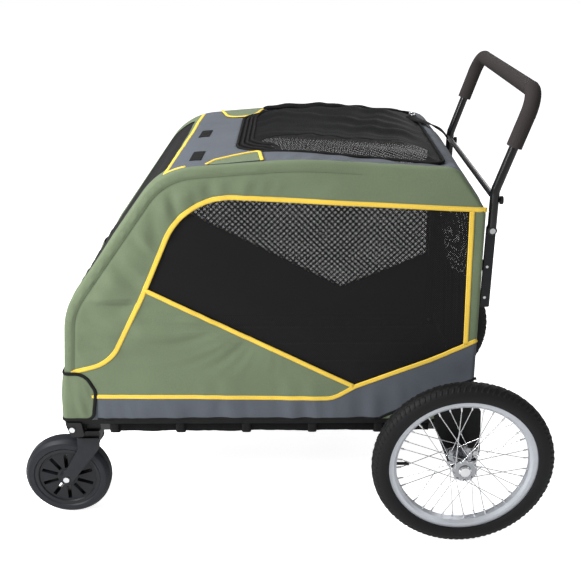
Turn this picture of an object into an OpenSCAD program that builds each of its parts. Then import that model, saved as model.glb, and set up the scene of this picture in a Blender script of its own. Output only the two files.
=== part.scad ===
// Folding pet stroller: tube frame, fabric cabin, spoked rear wheels and swivel casters.
// Origin: on the ground, midway between the foremost and rearmost wheel edges.
// +Z up, -X is the front, -Y is the stroller's left side.

/* [Overall] */
// Length over the front and rear tyres
overall_length = 1204; // [1150:2:1300]
// Half of the cabin's width over its side panels
cabin_half = 285; // [285:1:290]
// Diameter of the frame tubes
tube_d = 19; // [18:0.5:19]

/* [Rear wheels] */
// Radius of the rear tyres
rear_r = 200; // [198:0.5:202]
// Distance of each rear wheel's middle plane from the stroller's middle
rear_track_half = 355; // [352:1:365]
// Radius of the rear tyre's round section
rear_section_r = 23; // [22:0.5:24]
// Number of spokes in each rear wheel
spoke_count = 36; // [28:4:36]
// Diameter of the rear axle
axle_d = 12; // [10:1:12]

/* [Casters] */
// Radius of the front tyres
caster_r = 100; // [97:0.5:100]
// Width of the front tyres
caster_w = 44; // [38:1:44]
// Distance of each caster's middle plane from the stroller's middle
caster_track_half = 241; // [240:0.5:242]
// How far the caster axle stands ahead of the swivel axis
caster_trail = 62; // [58:1:64]
// Number of slots in each caster wheel's disc
slot_count = 10; // [8:1:10]

/* [Cabin] */
// Thickness of the fabric walls
wall = 3; // [2:0.5:3]
// Width of the sewn edge tape
tape_w = 10.5; // [8:0.5:12]
// Thickness of the floor cushion
mat_t = 26; // [15:1:30]
// Number of webbing loops that hold the cabin to each side rail
loop_count = 5; // [4:1:5]

/* [Handle] */
// Height of the rivets that the handle folds on
rivet_z = 713; // [711:1:715]
// Height of the middle of the handle's crossways grip
grip_z = 992; // [985:1:995]
// Diameter of the foam grip
grip_d = 32; // [28:1:34]
// Distance of the handle's tubes from the stroller's middle
handle_half = 268; // [268:1:269]

/* [Hidden] */
$fn = 48;
SIDES = [-1, 1];
fit = 0.05;
pin_d = 8;
tube_r = tube_d / 2;
tube_wall = 1.5;
ring_half = 2;
ring_proud = 0.25;

rear_axle_x = overall_length / 2 - rear_r;
caster_axle_x = -overall_length / 2 + caster_r;
swivel_x = caster_axle_x + caster_trail;

rail_w = 25;
rail_mid = 245;
rail_z = 240;
rail_top = rail_z + rail_w / 2;
rail_front = -412;
rail_rear = 446;

hoop_half = 271.9;
hoop_hinge = [-470, 246];
bow_half = 251;
bow_hinge = [409, 275];
post_x = 440.5;
post_bottom = 538;
post_t = 10;
crossbar_z = 786;

skin = cabin_half;
skin_in = skin - wall;

// Fillet points at corner b of the path a-b-c, n steps round an arc of radius r.
function fillet(a, b, c, r, n) =
    let (u = (a - b) / norm(a - b), w = (c - b) / norm(c - b))
    let (half = acos(max(-1, min(1, u * w))) / 2)
    let (t = r / tan(half), centre = b + (u + w) / norm(u + w) * r / sin(half))
    let (s = b + u * t - centre, e = b + w * t - centre)
    let (turn = 180 - 2 * half, side = sign(s[0] * e[1] - s[1] * e[0]))
    [for (i = [0:n])
        let (q = side * turn * i / n)
        centre + [s[0] * cos(q) - s[1] * sin(q), s[0] * sin(q) + s[1] * cos(q)]];

// An open outline [[x, z, radius], ...] as points, with its inner corners rounded.
function rounded(p, n = 8) = [
    for (i = [0:len(p) - 1])
        let (here = [p[i][0], p[i][1]])
        each (i == 0 || i == len(p) - 1 || p[i][2] == 0) ? [here]
            : fillet([p[i - 1][0], p[i - 1][1]], here, [p[i + 1][0], p[i + 1][1]], p[i][2], n)];

// A closed outline, with every corner rounded.
function rounded_loop(p, n = 8) = [
    for (i = [0:len(p) - 1])
        let (a = p[(i + len(p) - 1) % len(p)], b = p[i], c = p[(i + 1) % len(p)])
        each b[2] == 0 ? [[b[0], b[1]]]
            : fillet([a[0], a[1]], [b[0], b[1]], [c[0], c[1]], b[2], n)];

// Right-hand normal of a path at point i.
function path_normal(p, i) =
    let (d = p[min(i + 1, len(p) - 1)] - p[max(i - 1, 0)])
    [d[1], -d[0]] / norm(d);

// A path moved sideways by d: positive is to the right of its direction.
function shifted(p, d) = [for (i = [0:len(p) - 1]) p[i] + d * path_normal(p, i)];

function reversed(p) = [for (i = [len(p) - 1:-1:0]) p[i]];

function unit(v) = v / norm(v);

// The cabin seen from the side: up the sloping front, over the roof and down the back.
cabin_path = rounded([
    [-487, 272, 0], [-459, 542, 170], [-238, 846, 150], [40, 866, 900],
    [360, 847, 40], [424, 757, 30], [431, 272, 0]], 8);

// The side window, from its lower front corner round to the lower rear one.
window_loop = rounded_loop([
    [-283, 588, 4], [-189, 790, 150], [396, 763, 4], [402, 457, 4],
    [262, 394, 60], [165, 354, 4]], 6);

// Centre lines of the sewn tapes on each side.
upper_tape = rounded([
    [-452, 392, 0], [-368, 418, 90], [-289, 572, 200], [-189, 790, 150], [415, 762, 0]], 8);
lower_tape = rounded([
    [-418, 332, 0], [118, 325, 60], [165, 354, 30], [330, 420, 200], [425, 467, 0]], 8);
rear_tape = [[394, 757], [402, 460]];
diagonal_tape = [[-279, 585], [162, 356]];

// Moves a shape drawn along local Z so that it starts at a point and looks along az.
module placed(from, ax, az) {
    ay = cross(az, ax);
    multmatrix([
        [ax[0], ay[0], az[0], from[0]],
        [ax[1], ay[1], az[1], from[1]],
        [ax[2], ay[2], az[2], from[2]],
        [0, 0, 0, 1]])
        children();
}

// A round rod from one point to another.
module rod(from, to, r) {
    az = unit(to - from);
    side = abs(az[1]) > 0.9 ? [1, 0, 0] : [0, 1, 0];
    placed(from, unit(cross(side, az)), az) cylinder(r = r, h = norm(to - from));
}

// A round bar through 3D points, its corners bent to a radius, with a low swaged
// ring round each end of a bend.
module tube_path(points, r, bend) {
    last = len(points) - 1;
    dirs = [for (i = [0:last - 1]) unit(points[i + 1] - points[i])];
    function setback(i) = (i == 0 || i == last) ? 0
        : bend * tan(acos(dirs[i - 1] * dirs[i]) / 2);
    function gap(i) = (i == 0 || i == last) ? 0 : 0.6;
    for (i = [0:last - 1])
        rod(points[i] + dirs[i] * (setback(i) + gap(i)),
            points[i + 1] - dirs[i] * (setback(i + 1) + gap(i + 1)), r);
    for (i = [1:last - 1]) {
        before = dirs[i - 1];
        after = dirs[i];
        from = points[i] - before * setback(i);
        to = points[i] + after * setback(i);
        turn = acos(before * after);
        mid = points[i] + unit(after - before) * bend / cos(turn / 2);
        placed(mid, unit(from - mid), unit(cross(from - mid, to - mid)))
            rotate_extrude(angle = turn) translate([bend, 0]) circle(r = r);
        rod(from - before * ring_half, from + before * ring_half, r + ring_proud);
        rod(to - after * ring_half, to + after * ring_half, r + ring_proud);
    }
}

// A box between two X, Z corners and two distances from the middle, on one side.
module side_box(side, x, z, y) {
    lo = side < 0 ? -y[1] : y[0];
    translate([x[0], lo, z[0]]) cube([x[1] - x[0], y[1] - y[0], z[1] - z[0]]);
}

// A flat plate in an X, Z outline, between two distances from the middle.
module side_plate(side, y) {
    lo = side < 0 ? -y[1] : y[0];
    translate([0, lo + y[1] - y[0], 0]) rotate([90, 0, 0]) linear_extrude(y[1] - y[0]) children();
}

// A round pin or hole along Y, between two distances from the middle.
module side_pin(side, x, z, d, y) {
    translate([x, side * y[0], z]) rotate([side * -90, 0, 0]) cylinder(d = d, h = y[1] - y[0]);
}

// A sheet that follows the cabin outline, between two depths inside it.
module wrap_sheet(outer, inner, half, n = 1) {
    rotate([90, 0, 0])
        linear_extrude(2 * half, center = true)
            intersection() {
                polygon(concat(shifted(cabin_path, outer), reversed(shifted(cabin_path, inner))));
                children();
            }
}

module ribbon(path) {
    polygon(concat(shifted(path, -tape_w / 2), reversed(shifted(path, tape_w / 2))));
}

// Places a wheel part: local Z points outwards along the axle.
module at_rear_wheel(side) {
    translate([rear_axle_x, side * rear_track_half, rear_r]) rotate([side * -90, 0, 0]) children();
}

module at_caster_wheel(side) {
    translate([caster_axle_x, side * caster_track_half, caster_r])
        rotate([side * -90, 0, 0]) children();
}

// ---- Base frame ----

module base_rail(side) {
    color("#202224")
        difference() {
            side_box(side, [rail_front, rail_rear], [rail_z - rail_w / 2, rail_top],
                [rail_mid - rail_w / 2, rail_mid + rail_w / 2]);
            side_box(side, [rail_front - 1, rail_rear - 4],
                [rail_z - rail_w / 2 + tube_wall, rail_top - tube_wall],
                [rail_mid - rail_w / 2 + tube_wall, rail_mid + rail_w / 2 - tube_wall]);
        }
}
module base_rail_left() { base_rail(-1); }
module base_rail_right() { base_rail(1); }

module crossbar_box(x, half) {
    color("#202224")
        translate([x, 0, rail_z])
            difference() {
                cube([rail_w, 2 * half, rail_w], center = true);
                cube([rail_w - 2 * tube_wall, 2 * half + 2, rail_w - 2 * tube_wall], center = true);
            }
}
module base_front_crossbar() { crossbar_box(-470, 228); }
module base_rear_crossbar() { crossbar_box(rail_rear - rail_w / 2 - 4, rail_mid - rail_w / 2); }

module floor_board() {
    color("#3a3a3a")
        translate([-455, -257.3, rail_top]) cube([845, 514.6, 5]);
}

module floor_mat() {
    mat = rounded_loop([[-448, -240, 30], [-448, 240, 30], [386, 240, 30], [386, -240, 30]], 6);
    color("#2c2d30")
        translate([0, 0, rail_top + 5.3]) linear_extrude(mat_t) polygon(mat);
}

module base_skirt() {
    color("#232427") {
        for (side = SIDES)
            side_box(side, [-380, 335], [237, 271.5], [274, 276]);
        translate([-487, -252, 237]) cube([2, 504, 34.5]);
        translate([rail_rear + 0.5, -228, 237]) cube([2, 456, 34.5]);
    }
}

module webbing_loops() {
    gap = 0.3;
    strap = 2;
    span = 598;
    color("#1c1d1f")
        for (side = SIDES, i = [0:loop_count - 1]) {
            x = -376 + span * i / (loop_count - 1);
            difference() {
                side_box(side, [x - 10, x + 10], [rail_z - rail_w / 2 - gap - strap, rail_top - 0.2],
                    [rail_mid, rail_mid + rail_w / 2 + gap + strap]);
                side_box(side, [x - 11, x + 11], [rail_z - rail_w / 2 - gap, rail_top],
                    [rail_mid - 1, rail_mid + rail_w / 2 + gap]);
            }
        }
}

// Nylon corner: takes the rail, the front crossbar, the caster stem and the hoop's hinge.
module corner_bracket(side) {
    ear = rounded_loop([[-485, 264, 5], [-448, 264, 5], [-444, 229, 4], [-474, 226, 5]], 5);
    stem_y = caster_track_half;
    color("#1b1c1e")
        difference() {
            union() {
                side_box(side, [-484.5, rail_front], [rail_z - 12, rail_top], [228, 257.8]);
                side_box(side, [swivel_x - 25, swivel_x + 25], [214, 228.5], [228, 265]);
                side_plate(side, [257.5, 262]) polygon(ear);
                side_plate(side, [282.6, 286.6]) polygon(ear);
                side_box(side, [-472, -448], [226, 230], [257.5, 286]);
            }
            side_pin(side, hoop_hinge[0], hoop_hinge[1], pin_d, [240, 290]);
            translate([swivel_x, side * stem_y, 210]) cylinder(d = axle_d + 2 * fit, h = 36);
        }
}
module corner_bracket_left() { corner_bracket(-1); }
module corner_bracket_right() { corner_bracket(1); }

module hoop_pins() {
    color("silver")
        for (side = SIDES) {
            side_pin(side, hoop_hinge[0], hoop_hinge[1], pin_d, [250, 287]);
            side_pin(side, hoop_hinge[0], hoop_hinge[1], 13, [286.6, 289]);
        }
}

module rear_hinge_brackets() {
    ear = rounded_loop([[392, rail_top, 0], [400, 290, 9], [418, 290, 9], [426, rail_top, 0]], 5);
    color("#1b1c1e")
        difference() {
            for (side = SIDES) {
                side_box(side, [391.5, 426], [rail_top, rail_top + 3], [236, 266]);
                side_plate(side, [237, 241]) polygon(ear);
                side_plate(side, [261, 265]) polygon(ear);
            }
            for (side = SIDES)
                side_pin(side, bow_hinge[0], bow_hinge[1], pin_d, [230, 270]);
        }
}

module rear_hinge_pins() {
    color("silver")
        for (side = SIDES)
            side_pin(side, bow_hinge[0], bow_hinge[1], pin_d, [235, 267]);
}

// ---- Rear axle ----

// Steel plate outside the cabin that hangs the axle from the rail.
module leg_bracket(side) {
    plate = rounded_loop([
        [340, 304, 8], [446, 304, 8], [452, 194, 20], [446, 164, 12],
        [400, 140, 14], [383, 160, 14], [348, 250, 20]], 5);
    color("#191a1c")
        difference() {
            union() {
                side_plate(side, [294, 299]) polygon(plate);
                side_box(side, [384, 420], [rail_z - 12, rail_z + 12], [257.5, 294.5]);
            }
            side_pin(side, rear_axle_x, rear_r, axle_d, [280, 310]);
            for (b = [[442, 192], [385, 164]])
                side_pin(side, b[0], b[1], pin_d, [280, 310]);
        }
}
module leg_bracket_left() { leg_bracket(-1); }
module leg_bracket_right() { leg_bracket(1); }

module leg_bolts() {
    color("silver")
        for (side = SIDES, b = [[442, 192], [385, 164]]) {
            side_pin(side, b[0], b[1], pin_d, [286, 299.5]);
            translate([b[0], side * 299, b[1]]) rotate([side * -90, 0, 0])
                cylinder(d = 14, h = 5, $fn = 6);
        }
}

module rear_axle() {
    color("#33353a") {
        rod([rear_axle_x, -rear_track_half - 31, rear_r], [rear_axle_x, rear_track_half + 31, rear_r],
            axle_d / 2);
        rod([rear_axle_x, -293.8, rear_r], [rear_axle_x, 293.8, rear_r], 11);
        for (side = SIDES)
            side_pin(side, rear_axle_x, rear_r, 18, [299.2, 316]);
    }
}

module axle_caps() {
    color("silver")
        for (side = SIDES)
            at_rear_wheel(side)
                difference() {
                    rotate_extrude()
                        polygon([[0, 30], [14, 30], [14, 33], [11, 36], [6, 37], [0, 37]]);
                    translate([0, 0, 29]) cylinder(d = axle_d, h = 2);
                }
}

// ---- Cabin ----

module side_panel(side) {
    color("#7d8d6c")
        side_plate(side, [skin_in, skin])
            difference() {
                polygon(cabin_path);
                polygon(window_loop);
            }
}
module side_panel_left() { side_panel(-1); }
module side_panel_right() { side_panel(1); }

module side_mesh(side) {
    border = 8;
    color("#2a2b2d")
        side_plate(side, [skin_in - 1.2, skin_in])
            polygon(shifted(concat(window_loop, [window_loop[0]]), -border));
}
module side_mesh_left() { side_mesh(-1); }
module side_mesh_right() { side_mesh(1); }

module side_trim(side) {
    color("#ecd35a")
        side_plate(side, [skin, skin + 1]) {
            ribbon(upper_tape);
            ribbon(lower_tape);
            ribbon(rear_tape);
            ribbon(diagonal_tape);
        }
}
module side_trim_left() { side_trim(-1); }
module side_trim_right() { side_trim(1); }

roof_front_x = -226;
roof_rear_z = 758;

module front_panel() {
    color("#7d8d6c")
        difference() {
            wrap_sheet(0, wall, skin_in) translate([-600, 272]) square([374 - 0.2, 700]);
            translate([-420, -215, 560]) cube([172, 430, 290]);
        }
}

module front_mesh() {
    color("#2a2b2d")
        wrap_sheet(wall, wall + 1.2, 222) translate([-440, 550]) square([202, 300]);
}

module roof_panel() {
    color("#6d7580")
        difference() {
            wrap_sheet(0, wall, skin_in)
                translate([roof_front_x, roof_rear_z]) square([800, 300]);
            translate([-70, -205, 800]) cube([405, 410, 100]);
        }
}

module roof_hatch() {
    color("#242527")
        wrap_sheet(-2.2, -0.2, 214) translate([-82, 800]) square([432, 100]);
}

module hatch_roll() {
    color("#1f2022")
        tube_path([[-40, 232, 871], [40, 232, 874.6], [335, 232, 858.5]], 8, 300);
}

module rear_panel() {
    color("#7d8d6c")
        difference() {
            wrap_sheet(0, wall, skin_in) translate([400, 256]) square([100, roof_rear_z - 256.2]);
            for (side = SIDES, z = [560, 630])
                side_box(side, [400, 440], [z - 14, z + 14], [252, 260]);
            for (side = SIDES)
                side_box(side, [400, 440], [250, 296], [230, 270]);
        }
}

module corner_patches() {
    patch = rounded_loop([[-480, 388, 0], [-440, 388, 0], [-416, 340, 30], [-421, 274, 20], [-486, 274, 6]], 6);
    color("#7d8d6c")
        for (side = SIDES)
            side_plate(side, [skin + 1.2, skin + 2.6]) polygon(patch);
}

// ---- Folding frame ----

module front_hoop() {
    foot = hoop_hinge[1] - tube_r;
    path = [for (s = [[-470.8, foot, -1], [-442, 531, -1], [-242, 803, -1],
                      [-242, 803, 1], [-442, 531, 1], [-470.8, foot, 1]])
        [s[0], s[2] * hoop_half, s[1]]];
    color("#202224")
        difference() {
            tube_path(path, tube_r, 60);
            for (side = SIDES)
                side_pin(side, hoop_hinge[0], hoop_hinge[1], pin_d + 2 * fit, [255, 290]);
        }
}

module rear_bow() {
    foot = bow_hinge[1] - tube_r;
    path = [for (s = [[409, foot, -1], [409, 755, -1], [356, 829, -1],
                      [356, 829, 1], [409, 755, 1], [409, foot, 1]])
        [s[0], s[2] * bow_half, s[1]]];
    color("#202224")
        difference() {
            union() {
                tube_path(path, tube_r, 45);
                for (side = SIDES, z = [560, 630])
                    side_box(side, [415.4, 446], [z - 12, z + 12], [254, 258]);
            }
            for (side = SIDES) {
                side_pin(side, bow_hinge[0], bow_hinge[1], pin_d + 2 * fit, [235, 270]);
                for (z = [560, 630])
                    side_pin(side, post_x - 2, z, 6, [250, 270]);
            }
        }
}

// Flat bars behind the cabin that carry the handle.
module handle_posts() {
    half = tube_d / 2;
    outline = rounded_loop([
        [post_x - half, post_bottom, 3], [post_x - half, rivet_z + half, half - 0.1],
        [post_x + half, rivet_z + half, half - 0.1], [post_x + half, post_bottom, 3]], 8);
    color("#2b2d31")
        difference() {
            for (side = SIDES)
                side_plate(side, [handle_half - post_t, handle_half - 0.1]) polygon(outline);
            for (side = SIDES) {
                side_pin(side, post_x, rivet_z, pin_d, [250, 275]);
                for (z = [560, 630])
                    side_pin(side, post_x - 2, z, 6, [250, 275]);
            }
        }
}

module post_bolts() {
    color("silver")
        for (side = SIDES, z = [560, 630])
            side_pin(side, post_x - 2, z, 6, [252.2, handle_half - 0.1]);
}

module handle_rivets() {
    color("silver")
        for (side = SIDES) {
            side_pin(side, post_x, rivet_z, pin_d, [handle_half - post_t, handle_half + 10]);
            side_pin(side, post_x, rivet_z, 12, [handle_half + 9.7, handle_half + 11.5]);
        }
}

// ---- Handle ----

handle_bend_z = 795;
grip_x = 505;
function handle_point(side, x, z) = [x, side * handle_half, z];
handle_path = [
    handle_point(-1, post_x, rivet_z), handle_point(-1, post_x, handle_bend_z),
    handle_point(-1, grip_x, grip_z), handle_point(1, grip_x, grip_z),
    handle_point(1, post_x, handle_bend_z), handle_point(1, post_x, rivet_z)];

module handle_tube() {
    lap = 40;
    color("#17181a")
        difference() {
            union() {
                tube_path(handle_path, tube_r, 45);
                for (side = SIDES)
                    side_pin(side, post_x, rivet_z, tube_d, [handle_half + 0.1, handle_half + 9.4]);
            }
            for (side = SIDES) {
                side_box(side, [post_x - 12, post_x + 12], [rivet_z - 12, rivet_z + lap],
                    [handle_half - 12, handle_half + 0.1]);
                side_pin(side, post_x, rivet_z, pin_d + 2 * fit, [255, 285]);
                rod([post_x, side * handle_half, 776], [post_x + 30, side * handle_half, 776],
                    3 + fit);
            }
        }
}

// Start of the foam: along the sloping tube, at height z.
function slope_x(z) = post_x + (grip_x - post_x) * (z - handle_bend_z) / (grip_z - handle_bend_z);

module handle_grip() {
    z0 = 886;
    path = [
        handle_point(-1, slope_x(z0), z0), handle_point(-1, grip_x, grip_z),
        handle_point(1, grip_x, grip_z), handle_point(1, slope_x(z0), z0)];
    color("#2b2a2b")
        difference() {
            tube_path(path, grip_d / 2, 45);
            tube_path(handle_path, tube_r + fit, 45);
        }
}

module handle_crossbar() {
    color("#202327")
        rod([post_x - 5, -handle_half + tube_r + 0.3, crossbar_z],
            [post_x - 5, handle_half - tube_r - 0.3, crossbar_z], 6);
}

module knob(side) {
    color("#141416")
        translate([post_x, side * handle_half, 776]) rotate([0, 90, 0]) {
            cylinder(d = 6, h = 12);
            translate([0, 0, tube_r + 0.3]) cylinder(d = 9, h = 2);
            translate([0, 0, tube_r + 2]) cylinder(d = 17, h = 6);
        }
}
module knob_left() { knob(-1); }
module knob_right() { knob(1); }

// ---- Casters ----

module caster_fork(side) {
    inner = caster_w / 2 + 2.5;
    outer = inner + 5;
    arm = rounded_loop([
        [swivel_x - 27, 213, 3], [swivel_x + 24, 213, 3], [swivel_x + 23, 186, 14],
        [caster_axle_x + 14, caster_r - 6, 14], [caster_axle_x, caster_r - 15, 10],
        [caster_axle_x - 14, caster_r - 2, 12], [swivel_x - 27, 184, 16]], 5);
    color("#303338")
        difference() {
            union() {
                for (flank = SIDES)
                    translate([0, side * caster_track_half, 0])
                        side_plate(flank, [inner, outer]) polygon(arm);
                translate([swivel_x - 27, side * caster_track_half - inner - 1, 199])
                    cube([51, 2 * inner + 2, 14]);
                translate([swivel_x, side * caster_track_half, 205]) cylinder(d = axle_d, h = 38);
            }
            side_pin(side, caster_axle_x, caster_r, pin_d,
                [caster_track_half - 40, caster_track_half + 40]);
        }
}
module caster_fork_left() { caster_fork(-1); }
module caster_fork_right() { caster_fork(1); }

module caster_bolt(side) {
    reach = caster_w / 2 + 7.5;
    color("silver")
        at_caster_wheel(side) {
            translate([0, 0, -reach]) cylinder(d = pin_d, h = 2 * reach);
            translate([0, 0, reach]) cylinder(d = 14, h = 3);
            translate([0, 0, -reach - 5]) cylinder(d = 13, h = 5, $fn = 6);
        }
}
module caster_bolt_left() { caster_bolt(-1); }
module caster_bolt_right() { caster_bolt(1); }

// Moulded disc with radial slots.
module caster_wheel(side) {
    slot_in = 24;
    slot_out = 61;
    color("#2e3136")
        at_caster_wheel(side)
            difference() {
                rotate_extrude()
                    polygon([[pin_d / 2 + fit, -24], [14, -24], [18, -17], [66, -17], [68, -20],
                             [76, -20], [76, 20], [68, 20], [66, 17], [18, 17], [14, 24],
                             [pin_d / 2 + fit, 24]]);
                for (i = [0:slot_count - 1])
                    rotate([0, 0, 360 * i / slot_count + 18])
                        translate([slot_in, -4.5, -30]) cube([slot_out - slot_in, 9, 60]);
            }
}
module caster_wheel_left() { caster_wheel(-1); }
module caster_wheel_right() { caster_wheel(1); }

module caster_tyre(side) {
    half = caster_w / 2;
    section = concat([[76.1, -half + 3], [76.1, half - 3]], rounded([
        [79, half, 0], [92, half, 6], [caster_r, half - 10, 10], [caster_r, -half + 10, 10],
        [92, -half, 6], [79, -half, 0]], 4));
    color("#26272a")
        at_caster_wheel(side)
            rotate_extrude() polygon(section);
}
module caster_tyre_left() { caster_tyre(-1); }
module caster_tyre_right() { caster_tyre(1); }

// ---- Rear wheels ----

rim_out = 163;
rim_in = 146;
flange_out = 27;
flange_in = -31;
spoke_hole_r = 24;

module rear_hub(side) {
    bore = axle_d / 2 + fit;
    color("#d7dade")
        at_rear_wheel(side)
            rotate_extrude()
                polygon([
                    [bore, -38], [11, -38], [13, -34], [27, -32.5], [27, -29.5], [17, -28],
                    [15, -20], [15, 16], [17, 24], [27, 25.5], [27, 28.5], [15, 29.8], [bore, 29.8]]);
}
module rear_hub_left() { rear_hub(-1); }
module rear_hub_right() { rear_hub(1); }

module rear_rim(side) {
    color("#c9ccd1")
        at_rear_wheel(side)
            difference() {
                rotate_extrude()
                    polygon([
                        [rim_in, -8], [rim_in, 8], [152, 13], [rim_out, 13], [rim_out, 11],
                        [154, 11], [151, 5], [151, -5], [154, -11], [rim_out, -11],
                        [rim_out, -13], [152, -13]]);
                rotate([0, 0, 180]) translate([140, 0, 0]) rotate([0, 90, 0]) cylinder(d = 9, h = 20);
            }
}
module rear_rim_left() { rear_rim(-1); }
module rear_rim_right() { rear_rim(1); }

// Half of the spokes start at each flange; they lean to alternate sides and pass each other.
module rear_spokes(side) {
    lean = 62;
    nipple_in = 134;
    stand_off = [3.2, 4.7];
    color("#dfe2e6")
        at_rear_wheel(side)
            for (i = [0:spoke_count - 1]) {
                flange = i % 2 == 0 ? flange_in : flange_out;
                dish = i % 2 == 0 ? -3 : 3;
                turn = floor(i / 2) % 2 == 0 ? 1 : -1;
                outwards = turn * sign(flange) > 0 ? 1 : 0;
                a = 360 * (i + 0.5) / spoke_count;
                foot = [spoke_hole_r * cos(a + turn * lean), spoke_hole_r * sin(a + turn * lean)];
                rod([foot[0], foot[1], flange + turn * stand_off[outwards]],
                    [(nipple_in + 1) * cos(a), (nipple_in + 1) * sin(a), dish], 1);
                rod([foot[0], foot[1], flange + turn * 2.2],
                    [foot[0], foot[1], flange + turn * (stand_off[outwards] + 0.8)], 1);
                rod([nipple_in * cos(a), nipple_in * sin(a), dish],
                    [rim_in * cos(a), rim_in * sin(a), dish], 2);
            }
}
module rear_spokes_left() { rear_spokes(-1); }
module rear_spokes_right() { rear_spokes(1); }

module rear_tyre(side) {
    mid = rear_r - rear_section_r;
    seat = rim_out + 4;
    color("#1d1d1f")
        at_rear_wheel(side)
            rotate_extrude()
                difference() {
                    union() {
                        intersection() {
                            translate([mid, 0]) circle(r = rear_section_r);
                            translate([rim_out + 0.3, -30]) square([60, 60]);
                        }
                        translate([154.4, -10.8]) square([10, 21.6]);
                    }
                    intersection() {
                        translate([mid, 0]) circle(r = rear_section_r - 4);
                        translate([seat, -30]) square([60, 60]);
                    }
                    translate([150, -6.5]) square([20, 13]);
                }
}
module rear_tyre_left() { rear_tyre(-1); }
module rear_tyre_right() { rear_tyre(1); }

module inner_tube(side) {
    mid = rear_r - rear_section_r;
    seat = rim_out + 4.3;
    valve_tip = 118;
    color("#141414")
        at_rear_wheel(side) {
            rotate_extrude()
                difference() {
                    intersection() {
                        translate([mid, 0]) circle(r = rear_section_r - 5);
                        translate([seat, -30]) square([60, 60]);
                    }
                    intersection() {
                        translate([mid, 0]) circle(r = rear_section_r - 7);
                        translate([seat + 2, -30]) square([60, 60]);
                    }
                }
            rotate([0, 0, 180]) translate([valve_tip, 0, 0]) rotate([0, 90, 0]) {
                cylinder(d = 7, h = seat + 1 - valve_tip);
                cylinder(d = 8.5, h = 10);
            }
        }
}
module inner_tube_left() { inner_tube(-1); }
module inner_tube_right() { inner_tube(1); }

base_rail_left();
base_rail_right();
base_front_crossbar();
base_rear_crossbar();
floor_board();
floor_mat();
base_skirt();
webbing_loops();
corner_bracket_left();
corner_bracket_right();
hoop_pins();
rear_hinge_brackets();
rear_hinge_pins();
leg_bracket_left();
leg_bracket_right();
leg_bolts();
rear_axle();
axle_caps();
side_panel_left();
side_panel_right();
side_mesh_left();
side_mesh_right();
side_trim_left();
side_trim_right();
front_panel();
front_mesh();
roof_panel();
roof_hatch();
hatch_roll();
rear_panel();
corner_patches();
front_hoop();
rear_bow();
handle_posts();
post_bolts();
handle_rivets();
handle_tube();
handle_grip();
handle_crossbar();
knob_left();
knob_right();
caster_fork_left();
caster_fork_right();
caster_bolt_left();
caster_bolt_right();
caster_wheel_left();
caster_wheel_right();
caster_tyre_left();
caster_tyre_right();
rear_hub_left();
rear_hub_right();
rear_rim_left();
rear_rim_right();
rear_spokes_left();
rear_spokes_right();
rear_tyre_left();
rear_tyre_right();
inner_tube_left();
inner_tube_right();
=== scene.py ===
import math
import bpy
import numpy as np
from mathutils import Matrix, Vector, geometry, noise


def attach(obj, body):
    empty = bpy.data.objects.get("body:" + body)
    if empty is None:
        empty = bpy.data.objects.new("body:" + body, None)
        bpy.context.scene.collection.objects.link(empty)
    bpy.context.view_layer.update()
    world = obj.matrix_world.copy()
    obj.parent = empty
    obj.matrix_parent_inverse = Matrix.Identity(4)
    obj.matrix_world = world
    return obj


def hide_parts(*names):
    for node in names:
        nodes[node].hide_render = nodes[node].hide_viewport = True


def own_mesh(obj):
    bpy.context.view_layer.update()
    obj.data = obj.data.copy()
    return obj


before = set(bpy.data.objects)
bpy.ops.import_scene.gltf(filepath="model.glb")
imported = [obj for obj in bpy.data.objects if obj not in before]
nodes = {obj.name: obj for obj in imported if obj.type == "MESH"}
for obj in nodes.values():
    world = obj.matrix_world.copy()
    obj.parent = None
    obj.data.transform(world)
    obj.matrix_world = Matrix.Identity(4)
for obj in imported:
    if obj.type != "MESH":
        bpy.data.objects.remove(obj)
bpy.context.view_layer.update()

MM = 0.001


# ---- Studio ----
# A pale seamless floor under big soft lamps, and the camera: a long lens at standing height,
# square on to the stroller's left side and looking a little down at it.
azimuth, elevation, roll = (math.radians(a) for a in (0.23, 22.88, -0.30))
ahead = Vector((-math.sin(azimuth) * math.cos(elevation),
                math.cos(azimuth) * math.cos(elevation), -math.sin(elevation)))
across = Vector((math.cos(azimuth), math.sin(azimuth), 0))
upward = across.cross(ahead)
right = across * math.cos(roll) + upward * math.sin(roll)
top = upward * math.cos(roll) - across * math.sin(roll)
lens = bpy.data.cameras.new("camera")
lens.lens, lens.sensor_width = 53.32, 36
lens.clip_start, lens.clip_end = 0.05, 60
camera = bpy.data.objects.new("camera", lens)
bpy.context.scene.collection.objects.link(camera)
camera.matrix_world = Matrix((
    (right.x, top.x, -ahead.x, 0.0305), (right.y, top.y, -ahead.y, -1.9511),
    (right.z, top.z, -ahead.z, 1.2894), (0, 0, 0, 1)))
bpy.context.scene.camera = camera
bpy.context.scene.view_settings.view_transform = "Standard"


def lamp(name, place, aim, size, power):
    light = bpy.data.lights.new(name, "AREA")
    light.shape, light.size, light.size_y, light.energy = "RECTANGLE", size[0], size[1], power
    o = bpy.data.objects.new(name, light)
    o.location = place
    o.rotation_euler = (Vector(aim) - Vector(place)).to_track_quat("-Z", "Y").to_euler()
    bpy.context.scene.collection.objects.link(o)


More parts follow.
